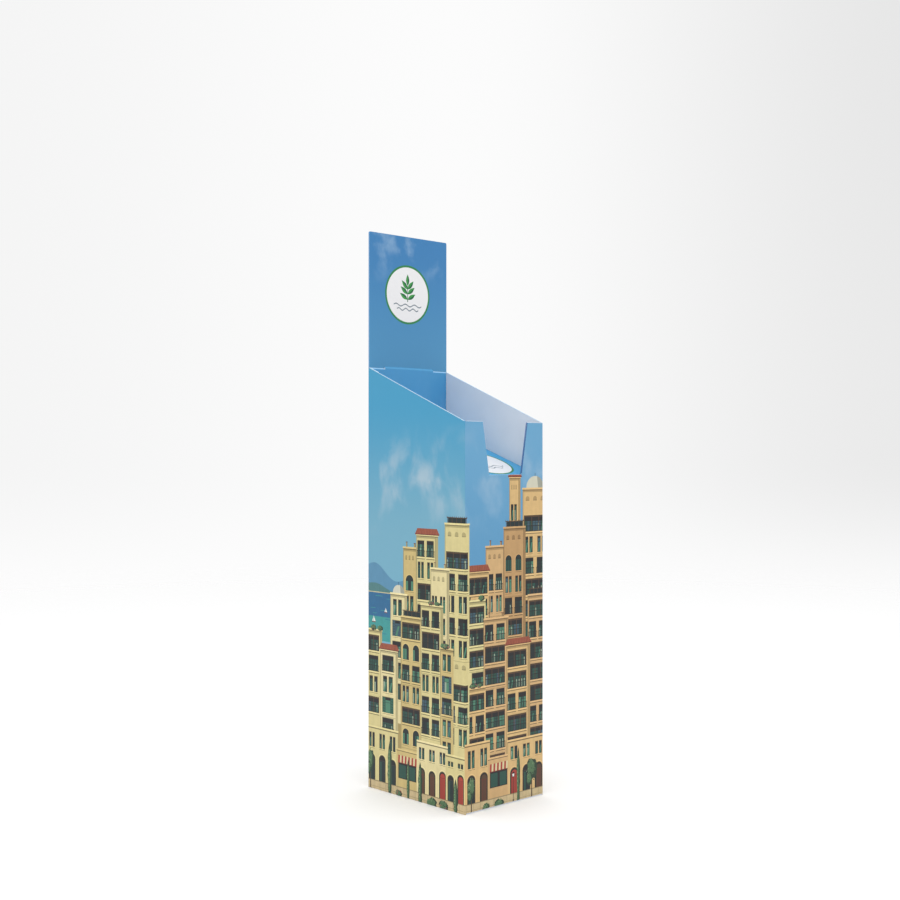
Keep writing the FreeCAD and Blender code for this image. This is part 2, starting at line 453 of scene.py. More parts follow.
def inkMaterial(ink, recipe):
    if ink in inkMaterials:
        return inkMaterials[ink]
    material, tree, shader = newMaterial("ink" + ink[0].upper() + ink[1:])
    place = addNode(tree, "ShaderNodeTexCoord").outputs["Object"]
    sheetMap = addNode(tree, "ShaderNodeUVMap", uv_map="sheetMap").outputs["UV"]
    relief = placeGroup(tree, boardRelief, {
        "Vector": place, "Along": axesOf(tree, sheetMap)[0],
        "Washboard": printing["flutes"], "Fibre": printing["fibre"],
    })
    if "group" in recipe:
        colour = placeGroup(tree, recipe["group"], {"Vector": place, **recipe["values"]})["Color"]
    else:
        colour = linear(recipe["colour"])
    finishPaper(tree, shader, colour, relief["Mottle"], relief["Height"], printing, recipe["rough"])
    inkMaterials[ink] = material
    return material


# an even tone with a little patchiness
def tone(colour, depth=0.12, scale=60.0):
    values = {"Color": linear(colour), "Depth": depth, "Scale": scale}
    return {"layer": "soft", "group": inkTone, "values": values, "rough": printing["roughness"]}


# one flat colour with a hard edge
def crisp(colour, rough=printing["roughness"]):
    return {"layer": "crisp", "colour": colour, "rough": rough}


# a sky: its colours, the heights between which it deepens, and its cloud's height, reach and amount
def skyInk(high, low, cloud, wash, band, **pattern):
    values = {"High": linear(high), "Low": linear(low), "Cloud": linear(cloud),
              "Low height": wash[0], "High height": wash[1],
              "Cloud height": band[0], "Cloud reach": band[1], "Cloud amount": band[2], **pattern}
    return {"layer": "soft", "group": skyWash, "values": values, "rough": printing["roughness"]}


inks = {
    "sky": skyInk((66, 154, 194), (115, 170, 193), (168, 192, 206), (0.7, 1.1),
                  (0.87, 0.16, 0.95), Stretch=(10, 10, 7)),
    "skyFront": skyInk((104, 163, 201), (91, 151, 192), (148, 182, 208), (0.62, 1.0),
                       (0.87, 0.16, 0.9), Stretch=(10, 10, 7)),
    "hillFar": tone((88, 140, 172), 0.08, 40),
    "hillNear": tone((78, 124, 126), 0.14, 90),
    "waterFar": tone((44, 104, 146), 0.14, 90),
    "waterNear": tone((62, 150, 148), 0.14, 90),
    "beach": tone((196, 190, 150), 0.1, 90),
    "stone": tone((200, 180, 138), 0.2, 110),
    "stoneShade": tone((150, 132, 98), 0.2, 110),
    "dome": tone((206, 204, 184), 0.08),
    "domeShade": tone((158, 160, 146), 0.08),
    "roof": tone((156, 84, 62), 0.2, 140),
    "roofShade": tone((110, 56, 44), 0.2, 140),
    "leaf": crisp((82, 114, 80), 0.45),
    "leafDark": crisp((46, 66, 50), 0.45),
    "leafPale": crisp((126, 152, 110), 0.45),
    "blossom": crisp((168, 66, 84), 0.45),
    "trunk": crisp((84, 70, 52), 0.45),
    "iron": crisp((33, 33, 35)),
    "ironSoft": crisp((64, 59, 54)),
    "timber": crisp((82, 60, 44)),
    "glass": crisp((34, 76, 66), 0.3),
    "glassPale": crisp((74, 128, 104), 0.3),
    "glassDeep": crisp((26, 42, 44), 0.3),
    "glassBlue": crisp((58, 88, 100), 0.3),
    "curtain": crisp((150, 168, 146)),
    "trim": crisp((214, 202, 158)),
    "brick": crisp((166, 62, 50)),
    "brickDark": crisp((112, 42, 36)),
    "paintGreen": crisp((48, 98, 80)),
    "sail": crisp((232, 232, 226)),
    # painted shade along the notch's right-hand cut
    "cutShade": crisp((50, 96, 150)),
}

plasters = {
    "sand": (212, 199, 141),
    "cream": (222, 208, 156),
    "ochre": (202, 180, 120),
    "tan": (212, 178, 122),
    "rose": (204, 168, 118),
    "clay": (188, 150, 102),
}

# each plaster as it is, in full sun, in shade and in deep shade
shades = (("", 1.0, 0), ("Pale", 1.06, 4), ("Shade", 0.84, -5), ("Deep", 0.58, -6))
for name, colour in plasters.items():
    for suffix, gain, lift in shades:
        inks[name + suffix] = tone(tuple(min(248, value * gain + lift) for value in colour))


# the picture on the column: a hillside town above a bay, drawn flat from plain shapes
town = []


def area(ink, *outline):
    town.append((ink, list(outline)))


def rect(ink, left, foot, right, top):
    area(ink, (left, foot), (right, foot), (right, top), (left, top))


def between(start, end, share):
    return start + (end - start) * share


# a four-sided area on an upright middle line, with its half widths at foot and top
def taper(ink, middle, foot, halfFoot, top, halfTop):
    area(ink, (middle - halfFoot, foot), (middle + halfFoot, foot),
         (middle + halfTop, top), (middle - halfTop, top))


def archOutline(left, foot, right, top):
    radius = (right - left) / 2
    middle = (left + right) / 2
    spring = top - radius
    outline = [(left, foot), (right, foot)]
    for step in range(9):
        angle = math.pi * step / 8
        outline.append((middle + radius * math.cos(angle), spring + radius * math.sin(angle)))
    return outline


def railing(left, foot, right, height):
    rect("iron", left, foot + height - 1.8, right, foot + height)
    rect("iron", left, foot, right, foot + 1.8)
    count = max(2, round((right - left) / 5))
    step = (right - left - 1.2) / count
    for number in range(count + 1):
        at = left + step * number
        rect("iron", at, foot + 1.8, at + 1.2, foot + height - 1.8)


# a lit moulding and its shadow, which is drawn in at either end
def ledge(left, right, top, body, thick, drop, inset):
    rect(body + "Pale", left, top - thick, right, top)
    rect(body + "Deep", left + inset, top - drop, right - inset, top - thick)


def slab(left, foot, right, body):
    ledge(left, right, foot, body, 4.4, 6.6, 1)


def sill(left, foot, right, body):
    ledge(left - 2, right + 2, foot, body, 2.6, 3.8, 1)


# dark recess with a lit jamb on the side away from the sun
def recess(left, foot, right, top, body):
    rect(body + "Deep", left - 1.1, foot, right + 0.4, top + 1.5)
    rect(body + "Pale", right + 0.4, foot, right + 1.8, top + 0.6)
    rect("iron", left, foot, right, top)


glazing = (("glass", "glassDeep"), ("glassDeep", "glass"),
           ("glass", "glassPale"), ("glass", "glassBlue"))


def panes(left, foot, right, top, count, rng):
    step = (right - left) / count
    head = top - (top - foot) * rng.choice((0.1, 0.18))
    rail = between(foot, top, 0.66)
    main, other = rng.choice(glazing)
    for number in range(count):
        start, end = left + step * number + 0.8, left + step * (number + 1) - 0.8
        pane = other if rng.random() < 0.3 else main
        rect(pane, start, foot + 1, end, rail)
        rect(pane, start, rail + 1.1, end, head)
        if rng.random() < 0.25:
            rect("curtain", start, foot + 1, between(start, end, 0.4), rail)
    lit = rng.randrange(count)
    start, end = left + step * lit + 0.8, left + step * (lit + 1) - 0.8
    if rng.random() < 0.6:
        area("glassPale", (start, foot + 1), (between(start, end, 0.4), foot + 1),
             (end, rail), (between(start, end, 0.6), rail))


def pairWindow(left, foot, right, top, body, rng):
    gap = (right - left) * 0.1
    middle = (left + right) / 2
    for start, end in ((left, middle - gap), (middle + gap, right)):
        recess(start, foot, end, top, body)
        panes(start, foot, end, top, 1, rng)
    sill(left, foot, right, body)


def balconyWindow(left, foot, right, top, body, rng):
    recess(left, foot, right, top, body)
    panes(left, foot, right, top - (top - foot) * 0.14, max(2, round((right - left) / 9)), rng)
    slab(left - 4, foot, right + 4, body)
    railing(left - 3, foot, right + 3, (top - foot) * 0.4)


def archWindow(left, foot, right, top, body, rng):
    area(body + "Pale", *archOutline(left - 2.4, foot, right + 2.4, top + 2.4))
    area("iron", *archOutline(left, foot, right, top))
    third = (right - left) / 3
    spring = top - (right - left) / 2
    for number in range(3):
        ink = rng.choice(("glass", "glassPale", "glassDeep"))
        rect(ink, left + third * number + 0.8, foot + 1, left + third * (number + 1) - 0.8, spring - 1)
    area("glassDeep", *archOutline(left + 3, spring + 0.6, right - 3, top - 1.4))
    sill(left, foot, right, body)


def shutterWindow(left, foot, right, top, body, rng):
    fold = (right - left) * 0.26
    paint = rng.choice(("paintGreen", "timber", "paintGreen", "glassBlue"))
    recess(left, foot, right, top, body)
    panes(left + fold, foot, right - fold, top, 1, rng)
    for start in (left, right - fold):
        rect(paint, start, foot, start + fold, top)
        for number in range(6):
            level = foot + (top - foot) * (number + 0.6) / 6
            rect("iron", start + 0.8, level, start + fold - 0.8, level + 0.9)
    sill(left, foot, right, body)


# an open gallery across the house: posts, a beam, glazing behind and a railing in front
def loggia(left, foot, right, top, body, rng):
    recess(left, foot, right, top, body)
    panes(left + 1, foot, right - 1, top - (top - foot) * 0.2, max(2, round((right - left) / 11)), rng)
    posts = max(1, round((right - left) / 26))
    for number in range(posts + 1):
        at = left + (right - left - 2.6) * number / posts
        rect("timber", at, foot, at + 2.6, top)
    rect("timber", left, top - 3.4, right, top - 0.8)
    for number in range(round((right - left) / 4)):
        rect(body + "Pale", left + 1.4 + 4 * number, top + 2.2, left + 3.2 + 4 * number, top + 4.6)
    slab(left - 2, foot, right + 2, body)
    railing(left, foot, right, (top - foot) * 0.38)


def niches(left, foot, right, top, body, rng):
    count = 3
    step = (right - left) / count
    for number in range(count):
        start = left + step * number + step * 0.22
        area(body + "Shade", *archOutline(start, top - 15, start + step * 0.5, top - 4))
        rect(body + "Deep", start, top - 16.4, start + step * 0.5, top - 15)


windowKinds = {"p": pairWindow, "b": balconyWindow, "a": archWindow, "s": shutterWindow,
               "l": loggia, "n": niches}


def tiledRoof(left, right, foot, body):
    rise, overhang = 15, 5
    area("roof", (left - overhang, foot), (right + overhang, foot),
         (right - rise * 0.3, foot + rise), (left + rise * 0.3, foot + rise))
    rect("roofShade", left - overhang, foot - 2.6, right + overhang, foot)
    count = max(3, round((right - left) / 6))
    for number in range(1, count):
        at = left - overhang + (right - left + 2 * overhang) * number / count
        lean = (0.5 - number / count) * rise * 0.7
        area("roofShade", (at - 0.6, foot), (at + 0.6, foot),
             (at + 0.6 + lean, foot + rise), (at - 0.6 + lean, foot + rise))


def domeRoof(left, right, foot, body):
    middle, radius = (left + right) / 2, (right - left) / 2 * 0.7
    outline = []
    for step in range(15):
        angle = math.pi * step / 14
        outline.append((middle + radius * math.cos(angle), foot + radius * 0.92 * math.sin(angle)))
    area("dome", *outline)
    area("domeShade", (middle + radius * 0.35, foot), *outline[:7])
    rect("iron", middle - 0.6, foot + radius * 0.9, middle + 0.6, foot + radius * 0.9 + 9)


def chimneys(left, right, foot, body):
    for part, width, rise in ((0.2, 5, 12), (0.72, 7, 9)):
        at = between(left, right, part)
        rect(body + "Shade", at, foot, at + width, foot + rise)
        rect(body + "Deep", at + width * 0.6, foot, at + width, foot + rise)
        rect("roofShade", at - 1, foot + rise, at + width + 1, foot + rise + 2)


def pergola(left, right, foot, body):
    start, end = between(left, right, 0.12), right - (right - left) * 0.12
    rect("glassDeep", start + 2, foot, end - 2, foot + 14)
    for number in range(5):
        at = start + (end - start) * number / 4
        rect("timber", at - 0.9, foot, at + 0.9, foot + 16)
    for number in range(11):
        at = start - 2 + (end - start + 4) * number / 10
        rect("timber", at - 0.6, foot + 14, at + 0.6, foot + 18)
    rect("timber", start - 3, foot + 13, end + 3, foot + 15)


roofKinds = {"tile": tiledRoof, "dome": domeRoof, "chimney": chimneys, "pergola": pergola}
floorRise = 58.0


# one house front with its parapet, shaded flank, floors of windows and what stands on its roof
def house(left, right, top, body, kinds, foot, flank, bays, roof, rng):
    rect(body, left, foot, right, top)
    rect(body + "Shade", left, foot, left + 3, top)
    if flank:
        rect(body + "Shade", right - flank, foot, right, top)
        rect(body + "Deep", right - flank, foot, right - flank + 1.2, top)
    ledge(left - 1.5, right + 1.5, top, body, 5, 7.5, 1.5)
    rect(body + "Shade", left, top - 12, right - flank, top - 7.5)
    pitch = (right - flank - left) / bays
    level = top - 17
    row = 0
    while level - floorRise > foot:
        kind = kinds[row % len(kinds)]
        spans = [(left + 6, right - flank - 5)]
        if kind not in "ln":
            inset = pitch * (0.15 if kind in "bs" else 0.2)
            starts = [left + pitch * bay for bay in range(bays)]
            spans = [(start + inset, start + pitch - inset) for start in starts]
        for start, end in spans:
            windowKinds[kind](start, level - floorRise * 0.78, end, level - 2, body, rng)
        level -= floorRise
        row += 1
        if row % 3 == 0:
            rect(body + "Shade", left, level + 1, right, level + 2.6)
    if roof:
        roofKinds[roof](left, right, top, body)


# street level: low arches with doors and shop glass, and small windows over them
def arcade(left, right, foot, top, body, bays, rng):
    rect(body, left, foot, right, top)
    ledge(left - 2, right + 2, top, body, 5, 8, 1)
    pitch = (right - left) / bays
    for bay in range(bays):
        start = left + pitch * bay
        near, far = start + pitch * 0.2, start + pitch * 0.8
        crown = rng.uniform(88, 102)
        area(body + "Pale", *archOutline(near - 4, foot, far + 4, crown + 5))
        area(body + "Deep", *archOutline(near - 1.4, foot, far + 1.4, crown + 2))
        area("iron", *archOutline(near, foot, far, crown))
        wide = far - near
        if rng.random() < 0.62:
            door = rng.choice(("brick", "brick", "brick", "timber"))
            area(door, *archOutline(near + wide * 0.14, foot, far - wide * 0.08, crown - wide * 0.16))
            rail = crown - wide * 0.62
            for part in (0.32, 0.5, 0.68):
                rect("brickDark", near + wide * part, foot, near + wide * part + 1.0, rail)
            rect("brickDark", near + wide * 0.14, crown - wide * 0.66, far - wide * 0.08, rail)
        else:
            rect("ironSoft", near + wide * 0.1, foot, far - wide * 0.06, crown - wide * 0.5)
            rect("glassDeep", near + wide * 0.16, foot, far - wide * 0.12, crown - wide * 0.56)
            rect("glass", near + wide * 0.16, foot, near + wide * 0.4, crown - wide * 0.66)
        pairWindow(near + 2, 118, far - 2, top - 20, body, rng)


def awning(left, right, top, drop):
    count = max(4, round((right - left) / 7))
    step = (right - left) / count
    rect("iron", left, top - drop - 44, right - 2, top - drop)
    for number in range(2):
        start = left + 3 + (right - left) * 0.5 * number
        rect("glass", start, top - drop - 42, start + (right - left) * 0.38, top - drop - 6)
    for number in range(count):
        ink = "brick" if number % 2 == 0 else "trim"
        start = left + step * number
        area(ink, (start - 1, top - drop), (start + step - 1, top - drop),
             (start + step, top), (start, top))
    rect("brickDark", left - 1, top - drop - 2, right - 1, top - drop)


def cypress(middle, foot, height, width, rng):
    outline, light = [], []
    steps = 13
    for step in range(steps + 1):
        part = step / steps
        swell = math.sin(math.pi * min(1, part * 0.86 + 0.14)) ** 0.7
        half = width / 2 * swell * rng.uniform(0.78, 1.16)
        outline.append((middle + half, foot + height * part))
        light.append((middle - half, foot + height * part))
    area("leafDark", *(outline + light[::-1]))
    slim = [(between(middle, x, 0.25), y) for x, y in outline[1:-2]]
    slimLeft = [(between(middle, x, 0.8), y) for x, y in light[1:-2]]
    area("leaf", *(slim + slimLeft[::-1]))
    for x, y in light[2:steps - 2]:
        area("leafPale", (between(middle, x, 0.75), y), (between(middle, x, 0.2), y + height * 0.015),
             (between(middle, x, 0.5), y + height * 0.05))


def leafBlob(ink, middle, level, wide, high, rng):
    outline = []
    points = 15
    for step in range(points):
        angle = 2 * math.pi * step / points
        reach = rng.uniform(0.74, 1.12)
        outline.append((middle + wide * reach * math.cos(angle),
                        level + high * reach * math.sin(angle)))
    area(ink, *outline)


# loose leaves over a rounded mass, lit from the left
def foliage(middle, level, wide, high, count, rng, bloom=0.0):
    leafBlob("leafDark", middle, level, wide, high, rng)
    leafBlob("leaf", middle - wide * 0.14, level + high * 0.12, wide * 0.8, high * 0.78, rng)
    for number in range(count):
        angle, reach = rng.uniform(0, 2 * math.pi), math.sqrt(rng.random())
        x, y = middle + wide * reach * math.cos(angle), level + high * reach * math.sin(angle)
        lit = (middle - x) / wide + (y - level) / high + rng.uniform(-0.7, 0.7)
        ink = "leafPale" if lit > 0.45 else ("leafDark" if lit < -0.35 else "leaf")
        if rng.random() < bloom:
            ink = "blossom"
        lean, size = rng.uniform(0, math.pi), rng.uniform(2.2, 4.4)
        alongX, alongY = math.cos(lean) * size, math.sin(lean) * size
        acrossX, acrossY = -math.sin(lean) * size * 0.3, math.cos(lean) * size * 0.3
        area(ink, (x - alongX, y - alongY), (x + acrossX, y + acrossY),
             (x + alongX, y + alongY), (x - acrossX, y - acrossY))


def roundTree(middle, foot, height, spread, rng):
    taper("trunk", middle, foot, 2.2, foot + height * 0.6, 1.2)
    foliage(middle, foot + height * 0.72, spread / 2, height * 0.28, 40, rng)
    foliage(middle - spread * 0.22, foot + height * 0.52, spread * 0.3, height * 0.16, 12, rng)


def lampPost(middle, foot):
    rect("iron", middle - 0.8, foot, middle + 0.8, foot + 66)
    rect("iron", middle - 2.4, foot, middle + 2.4, foot + 5)
    taper("iron", middle, foot + 66, 4, foot + 76, 5.4)
    taper("sail", middle, foot + 67.4, 2.6, foot + 74.6, 3.8)
    area("iron", (middle - 5.4, foot + 76), (middle + 5.4, foot + 76), (middle, foot + 81))


# a hull and two sails, in parts of the boat's half length
boat = (
    ("brickDark", ((-1, 0.25), (-0.7, 0), (0.8, 0), (1, 0.25))),
    ("sail", ((-0.1, 0.35), (0.85, 0.35), (-0.1, 2.1))),
    ("sail", ((-0.25, 0.35), (-0.8, 0.35), (-0.25, 1.7))),
)


def sailboat(middle, level, size):
    for ink, shape in boat:
        area(ink, *((middle + size * x, level + size * y) for x, y in shape))


def ridge(ink, left, right, foot, low, high, seed):
    rng = random.Random(seed)
    swells = [(order, rng.uniform(0, 6.28), rng.uniform(0.7, 1.3)) for order in range(1, 5)]
    outline = [(left, foot), (right, foot)]
    steps = max(8, round((right - left) / 9))
    for step in range(steps, -1, -1):
        at = left + (right - left) * step / steps
        wave = sum(math.sin(at / (70 / order) * pace + phase) / order for order, phase, pace in swells)
        outline.append((at, low + (high - low) * (0.5 + wave * 0.24)))
    area(ink, *outline)


# water below hills, with a strip of beach and glints
def seaBay(left, right, foot, top, seed):
    ridge("hillFar", left, right, top - 4, top + 26, top + 84, seed)
    ridge("hillNear", left, right, top - 4, top + 4, top + 36, seed + 1)
    shallows = between(foot, top, 0.5)
    rect("waterFar", left, foot, right, top)
    rect("waterNear", left, foot, right, shallows)
    rect("beach", left, top - 1.2, right, top + 1.4)
    rng = random.Random(seed)
    for number in range(14):
        level = foot + (top - foot) * rng.uniform(0.05, 0.92)
        start = left + (right - left) * rng.uniform(0, 0.8)
        long = (right - left) * rng.uniform(0.08, 0.2)
        ink = "waterFar" if level < shallows else "waterNear"
        area(ink, (start, level), (start + long, level + 0.5),
             (start + long * 0.9, level + 1.7), (start + long * 0.1, level + 1.4))


# each wall's houses, the farthest first: left, right, top, plaster, floors, foot, flank, bays, roof
leftRows = [
    (150, 212, 690, "ochre", "nap", 300, 9, 1, "chimney"),
    (318, 410, 762, "sand", "nlbpbp", 150, 0, 2, "pergola"),
    (204, 292, 728, "sand", "bplb", 250, 12, 2, "tile"),
    (96, 166, 560, "cream", "psb", 200, 10, 1, "dome"),
    (262, 336, 640, "cream", "nppb", 200, 10, 2, "chimney"),
    (-6, 60, 452, "sand", "lbp", 150, 8, 1, ""),
    (140, 232, 500, "ochre", "labp", 120, 8, 2, "pergola"),
    (52, 128, 400, "cream", "bpsb", 120, 9, 1, "tile"),
    (222, 312, 540, "sand", "blbpb", 120, 10, 2, ""),
    (300, 352, 430, "ochre", "psbp", 60, 0, 1, ""),
]

frontRows = [
    (560, 604, 884, "tan", "npap", 300, 8, 1, "tile"),
    (470, 546, 700, "rose", "nbpb", 300, 9, 2, "chimney"),
    (612, 712, 852, "tan", "nlpblbpb", 200, 0, 2, "dome"),
    (398, 482, 636, "tan", "lbpb", 150, 0, 2, "tile"),
    (538, 624, 748, "clay", "napblb", 150, 9, 2, "pergola"),
    (352, 470, 560, "sand", "lllbl", 60, 0, 2, ""),
    (462, 556, 508, "rose", "bllbl", 60, 8, 2, "chimney"),
    (632, 712, 560, "rose", "lblllb", 60, 0, 2, "pergola"),
    (548, 642, 430, "tan", "llb", 60, 10, 2, "tile"),
    (384, 470, 330, "tan", "lbl", 40, 0, 2, ""),
]

rightRows = [
    (706, 800, 800, "tan", "npbab", 200, 0, 2, "chimney"),
    (870, 950, 720, "rose", "bplb", 200, 10, 2, "tile"),
    (790, 880, 640, "clay", "sbpl", 150, 9, 2, ""),
    (940, 1040, 620, "tan", "lbab", 150, 0, 2, "dome"),
    (1024, 1100, 520, "sand", "pbl", 100, 8, 1, "pergola"),
    (704, 790, 500, "rose", "blps", 60, 0, 2, ""),
    (780, 884, 420, "tan", "lapb", 60, 8, 2, "chimney"),
    (876, 966, 470, "cream", "bslb", 60, 0, 2, "pergola"),
    (958, 1062, 380, "clay", "plb", 60, 9, 2, "tile"),
]

backRows = [
    (1096, 1180, 590, "sand", "pbls", 100, 9, 2, "chimney"),
    (1172, 1262, 660, "cream", "nbap", 100, 0, 2, "dome"),
    (1254, 1330, 540, "ochre", "slb", 100, 9, 2, "tile"),
    (1320, 1392, 460, "sand", "blp", 100, 0, 1, "pergola"),
    (1060, 1150, 380, "sand", "plb", 40, 9, 2, ""),
    (1140, 1250, 400, "ochre", "blb", 40, 0, 2, "pergola"),
    (1242, 1392, 340, "cream", "lbs", 40, 0, 3, ""),
]


# the street's stretches: left, right, top, plaster and arches, or an awning where there are none
stretches = [
    (-6, 128, 178, "sand", 3), (122, 214, 132, "ochre", 0), (206, 330, 168, "cream", 3),
    (322, 398, 150, "sand", 2), (394, 486, 184, "tan", 2), (478, 562, 136, "rose", 0),
    (554, 700, 172, "tan", 3), (694, 812, 180, "rose", 3), (806, 906, 134, "tan", 0),
    (898, 1062, 166, "tan", 4), (1054, 1150, 150, "sand", 2), (1142, 1250, 186, "ochre", 2),
    (1242, 1334, 134, "cream", 0), (1326, 1394, 172, "sand", 2),
]

# the picture's own limits, a little past the sheet's
picture = {"left": -6, "right": 1394, "foot": -8}


def drawTown(rows, seed):
    rng = random.Random(seed)
    for row in rows:
        house(*row, rng)


def drawStreet():
    rng = random.Random(19)
    start, end, foot = picture["left"], picture["right"], picture["foot"]
    for left, right, top, body, bays in stretches:
        if bays:
            arcade(left, right, foot, top, body, bays, rng)
        else:
            rect(body, left, foot, right, top)
            rect(body + "Deep", left, top - 7, right, top - 5)
            rect(body + "Pale", left, top - 5, right, top)
            awning(left + 8, right - 8, top - 18, 20)
    rect("stone", start, foot, end, 26)
    rect("stoneShade", start, 24, end, 26.6)
    for number in range(56):
        rect("stoneShade", 25 * number, foot, 25 * number + 0.8, 24)
    rect("stoneShade", start, 8, end, 9)


def plantStreet():
    rng = random.Random(71)
    at = 10.0
    while at < 1380:
        pick = rng.random()
        if pick < 0.3:
            cypress(at, -6, rng.uniform(90, 160), rng.uniform(13, 19), rng)
            at += rng.uniform(34, 60)
        elif pick < 0.56:
            roundTree(at, -6, rng.uniform(84, 140), rng.uniform(28, 42), rng)
            at += rng.uniform(50, 84)
        elif pick < 0.94:
            wide = rng.uniform(13, 22)
            foliage(at, rng.uniform(4, 9), wide, wide * 0.8, 26, rng, rng.choice((0.0, 0.3)))
            at += rng.uniform(34, 60)
        else:
            lampPost(at, 4)
            at += rng.uniform(16, 26)


# planting on the terraces between the tiers of houses
def plantTerraces(rows, seed):
    rng = random.Random(seed)
    for left, right, top, body, kinds, foot, flank, bays, roof in rows:
        if not roof and top < 600:
            for number in range(3):
                at, wide, high = rng.uniform(left + 8, right - 8), rng.uniform(7, 13), rng.uniform(5, 9)
                foliage(at, top + 3, wide, high, 10, rng, 0.2)


# the column's sheet in plan, from the left wall's cut edge round to the hidden lap
def sleeveCorners():
    half, deep, fold = column["width"] / 2, column["depth"] / 2, column["foldRadius"]
    lapTurn = half - column["board"]
    return [(-half, deep), (-half, -deep, fold), (half, -deep, fold), (half, deep, fold),
            (-lapTurn, deep, fold), (-lapTurn, deep - column["lap"])]


sleeveLine, sleeveStarts = foldedLine(sleeveCorners())

# the ranges of the blank that stay upright down to the floor beside the flaps
uprights = [(-1.0, column["foldRadius"]), (sleeveStarts[7] + 0.05, sleeveStarts[-1])]
uprights += [(sleeveStarts[number], sleeveStarts[number + 1]) for number in (1, 3, 5)]


def sleevePlace(point):
    u, level = point
    spot, outward = sleeveLine(u)
    foot = column["wallFoot"] if abs(outward.y) > 0.9 else column["sideFoot"]
    fold = column["foldRadius"]
    if level >= foot or any(start - 0.02 <= u <= end + 0.02 for start, end in uprights):
        return Vector((spot.x, spot.y, level)), Vector((outward.x, outward.y, 0))
    turn = (foot - level) / fold
    under = spot - outward * (fold * (1 - math.cos(turn)))
    facing = Vector((outward.x * math.cos(turn), outward.y * math.cos(turn), -math.sin(turn)))
    return Vector((under.x, under.y, foot - fold * math.sin(turn))), facing


# the flat blank: walls with sloping edges, corner strips and the turned-under strip of each flap
def sleeveBlank():
    fold, folds, edge = column["foldRadius"], sleeveStarts, printing["edgeMargin"]
    turned = fold * math.radians(printing["underTurn"])
    deep, slit = column["depth"] / 2, column["flapSlot"] - fold
    inner = deep - column["board"]
    # the print stops short of the top edges, leaving bare board as a painted highlight
    low, high = (column[wall] - printing["cutHighlightMargin"] for wall in ("frontHeight", "backHeight"))
    foot, floor = column["wallFoot"], column["cornerFoot"]
    sideLow, frontLow = column["sideFoot"] - turned, foot - turned
    outline = [(edge, floor), (fold, floor), (fold, foot)]
    for start, end, under in ((fold, folds[1], sideLow), (folds[2], folds[3], frontLow),
                              (folds[4], folds[5], sideLow), (folds[6], folds[7] + slit, frontLow)):
        outline += [(start + slit, foot), (start + slit, under), (end - slit, under), (end - slit, foot)]
        if end < folds[7]:
            turnEnd = end + fold * math.pi / 2
            outline += [(end, foot), (end, floor), (turnEnd, floor), (turnEnd, foot)]
    last = folds[7] + fold * math.radians(60)
    outline += [(last, foot), (last, high), (folds[6], high), (folds[5], high)]
    rightBack = folds[4] + (inner - (-deep + fold))
    rightFront = folds[4] + (-inner - (-deep + fold))
    outline += [(rightBack, high), (rightFront, low), (folds[3], low), (folds[2], low)]
    outline += [(deep + inner, low), (deep - inner, high), (edge, high)]
    return outline


# painted shade in the print along the notch's right-hand cut, where the cut face stands in shade
def notchShadeStrip():
    middle = (sleeveStarts[2] + sleeveStarts[3]) / 2
    lean = (column["notchTop"] - column["notchSill"]) / (column["frontHeight"] - column["sillHeight"])
    top, foot = column["frontHeight"], column["sillHeight"] + 3
    near, far = middle + column["notchSill"] + lean * 3, middle + column["notchTop"]
    area("cutShade", (near - 1, foot), (near + 3.2, foot), (far + 3.2, top), (far - 1, top))


def notchHole():
    middle = (sleeveStarts[2] + sleeveStarts[3]) / 2
    # bare board round the notch's cut, a painted highlight on its rims
    margin = printing["cutHighlightMargin"] * 0.5
    top, bottom = column["notchTop"] + margin, column["notchSill"] + margin
    sillLevel, corner = column["sillHeight"] - margin, column["notchCorner"]
    rim = column["frontHeight"] + 40
    lean = (top - bottom) / (column["frontHeight"] - column["sillHeight"])
    wide = bottom + lean * (rim - sillLevel)
    outline = [(middle + wide, rim), (middle - wide, rim)]
    for side in (-1, 1):
        bend = []
        for step in range(7):
            angle = math.radians(5) - math.radians(15 * step) * 0.92
            out = bottom - corner + corner * math.cos(angle) + corner * 0.04
            bend.append((middle + side * out, sillLevel + corner + corner * math.sin(angle)))
        outline += bend if side < 0 else bend[::-1]
    return outline


# where a folded line's folds are creased
def foldStops(starts, parts):
    stops = []
    for number in (1, 3, 5, 7):
        start, end = starts[number], starts[number + 1]
        stops += [start + (end - start) * step / parts for step in range(parts + 1)]
    return stops


def sleeveCreases():
    stops = foldStops(sleeveStarts, round(90 / printing["foldStep"]))
    creases = [((at, -12.0), (at, 1200.0)) for at in stops]
    for number, foot in ((0, "sideFoot"), (2, "wallFoot"), (4, "sideFoot"), (6, "wallFoot")):
        for turn in (0, 25, 50):
            level = column[foot] - column["foldRadius"] * math.radians(turn)
            creases.append(((sleeveStarts[number], level), (sleeveStarts[number + 1], level)))
    return creases


# the middles of the folds where the picture is parted into a piece to each wall
turns = [(sleeveStarts[number] + sleeveStarts[number + 1]) / 2 for number in (1, 3, 5)]
rect("skyFront", turns[0], -10, turns[1], 1200)
ridge("hillFar", 396, picture["right"], 380, 560, 610, 5)
ridge("hillNear", 396, picture["right"], 380, 500, 560, 6)
seaBay(picture["left"], 210, 420, 556, 8)
seaBay(1034, 1180, 420, 566, 9)
sailboat(24, 470, 9)
sailboat(76, 500, 7)
rect("ochreShade", picture["left"], picture["foot"], 398, 300)
rect("clayShade", 398, picture["foot"], picture["right"], 300)
for rows, seed in ((frontRows, 23), (rightRows, 37), (backRows, 53), (leftRows, 11)):
    drawTown(rows, seed)
    plantTerraces(rows, seed)
drawStreet()
plantStreet()
notchShadeStrip()
print("town drawn:", len(town), "areas")

# the even tones print as one sheet
even = [item for item in town if inks[item[0]]["layer"] == "soft"]
spots, covering = flatLayer(sleeveBlank(), [notchHole()], even, sleeveCreases(), "sky")
columnPieces = [buildPrintPiece("columnPrint", spots, covering, sleevePlace, inks, printing["proud"])]


